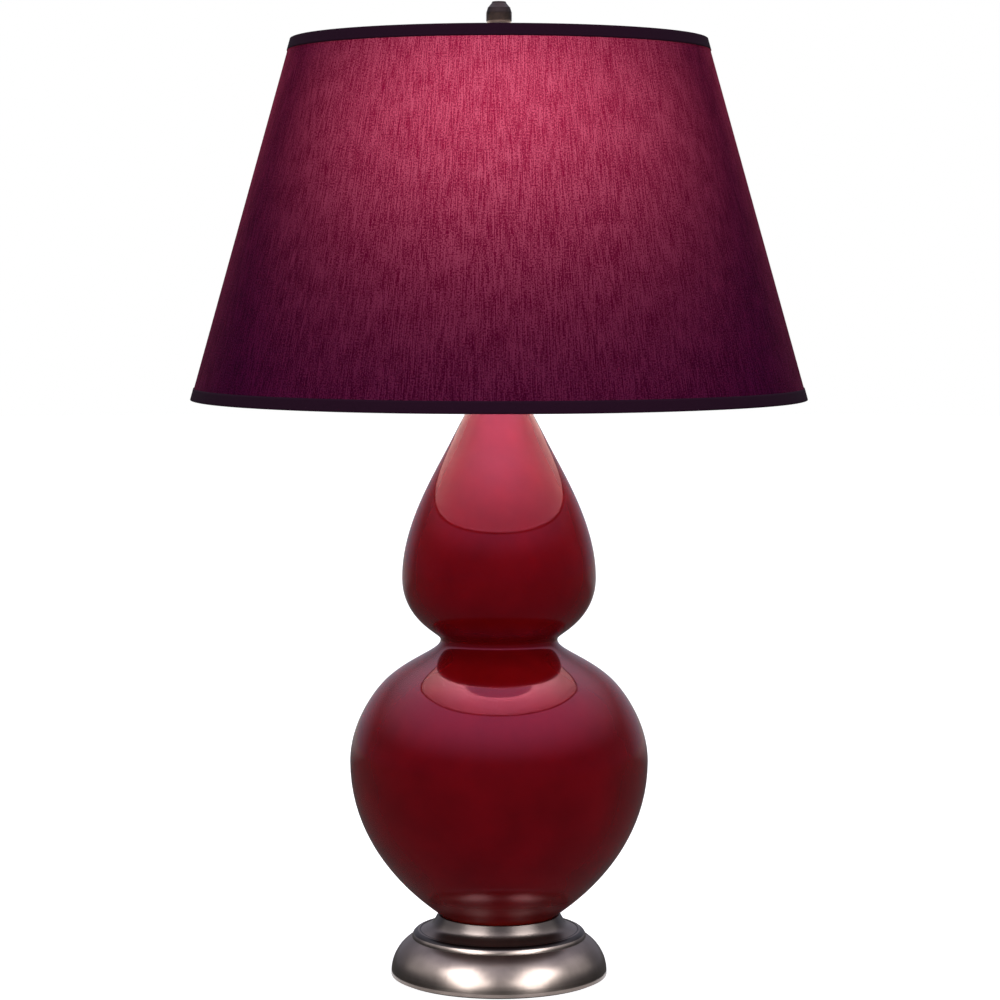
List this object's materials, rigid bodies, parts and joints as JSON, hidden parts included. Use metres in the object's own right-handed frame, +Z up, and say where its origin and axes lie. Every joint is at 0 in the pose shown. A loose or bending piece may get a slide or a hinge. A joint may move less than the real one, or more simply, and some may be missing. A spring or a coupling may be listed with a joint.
{
  "type": "double gourd table lamp",
  "caption": "Glazed double gourd ceramic table lamp on a cast metal foot, with a tapered fabric shade carried by a harp and finial.",
  "frame": {"origin": "middle of the felt's lower face, on the lamp's axis", "axes": "+Z up along the lamp's axis; +Y to the back, where the cord inlet is; +X to the right of someone who faces the lamp"},
  "size_m": [0.4951, 0.4952, 0.7874],
  "materials": {
    "felt": "felt",
    "antique_nickel": "satin",
    "cast_iron": "as cast",
    "zinc_steel": "bright zinc",
    "nylon": "moulded",
    "gasket": "matte",
    "oxblood_glaze": "gloss glaze",
    "harp_nickel": "satin nickel",
    "brass": "satin",
    "liner_card": "fibre sheet",
    "phenolic": "moulded",
    "aluminium": "rolled",
    "bulb_frost": "inside frosted",
    "black_glass": "gloss",
    "solder": "satin",
    "clear_glass": "gloss",
    "tungsten": "satin",
    "shade_linen": "woven linen look",
    "shade_tape": "woven tape",
    "styrene": "satin sheet",
    "white_wire": "powder coat"
  },
  "bodies": {
    "lamp_stand": {"base_felt": "felt", "base_foot": "antique_nickel", "base_weight": "cast_iron", "base_washer": "zinc_steel", "base_locknut": "zinc_steel", "cord_bushing": "nylon", "foot_gasket": "gasket", "gourd_lower": "oxblood_glaze", "gourd_upper": "oxblood_glaze", "cap_gasket": "gasket", "vase_cap": "antique_nickel", "neck_spacer": "antique_nickel", "threaded_pipe": "zinc_steel", "harp_saddle": "harp_nickel", "socket_cap": "brass", "socket_set_screw": "zinc_steel", "socket_shell": "brass", "shell_liner": "liner_card", "socket_core": "phenolic", "terminal_screws": "brass", "screw_shell": "aluminium", "centre_contact": "brass"},
    "switch": {"switch_stem": "zinc_steel", "switch_knob": "phenolic"},
    "bulb": {"bulb_glass": "bulb_frost", "bulb_screw_base": "aluminium", "bulb_insulator": "black_glass", "bulb_tip_contact": "solder", "bulb_stem": "clear_glass", "bulb_filament": "tungsten"},
    "harp": {"harp_wire": "harp_nickel", "harp_stud": "harp_nickel"},
    "ferrule_left_body": {"ferrule_left": "harp_nickel"},
    "ferrule_right_body": {"ferrule_right": "harp_nickel"},
    "shade": {"shade_fabric": "shade_linen", "shade_liner": "styrene", "shade_top_wire": "white_wire", "shade_bottom_wire": "white_wire", "shade_top_trim": "shade_tape", "shade_bottom_trim": "shade_tape", "spider_hub": "white_wire", "spider_arms": "white_wire"},
    "finial_body": {"finial": "antique_nickel"}
  },
  "joints": [
    {"name": "switch_turn", "type": "hinge", "parent": "lamp_stand", "child": "switch", "pos_m": [0, -0.02, 0.5136], "axis": [0, -1, 0], "continuous": true},
    {"name": "bulb_turn", "type": "hinge", "parent": "lamp_stand", "child": "bulb", "pos_m": [0, 0, 0.53], "axis": [0, 0, 1], "continuous": true},
    {"name": "harp_lift", "type": "slide", "parent": "lamp_stand", "child": "harp", "axis": [0, 0, 1], "range_m": [0, 0.04]},
    {"name": "ferrule_left_slide", "type": "slide", "parent": "harp", "child": "ferrule_left_body", "axis": [0, 0, 1], "range_m": [0, 0.009]},
    {"name": "ferrule_right_slide", "type": "slide", "parent": "harp", "child": "ferrule_right_body", "axis": [0, 0, 1], "range_m": [0, 0.009]},
    {"name": "shade_lift", "type": "slide", "parent": "harp", "child": "shade", "axis": [0, 0, 1], "range_m": [0, 0.3]},
    {"name": "finial_turn", "type": "hinge", "parent": "shade", "child": "finial_body", "pos_m": [0, 0, 0.75], "axis": [0, 0, 1], "continuous": true}
  ]
}
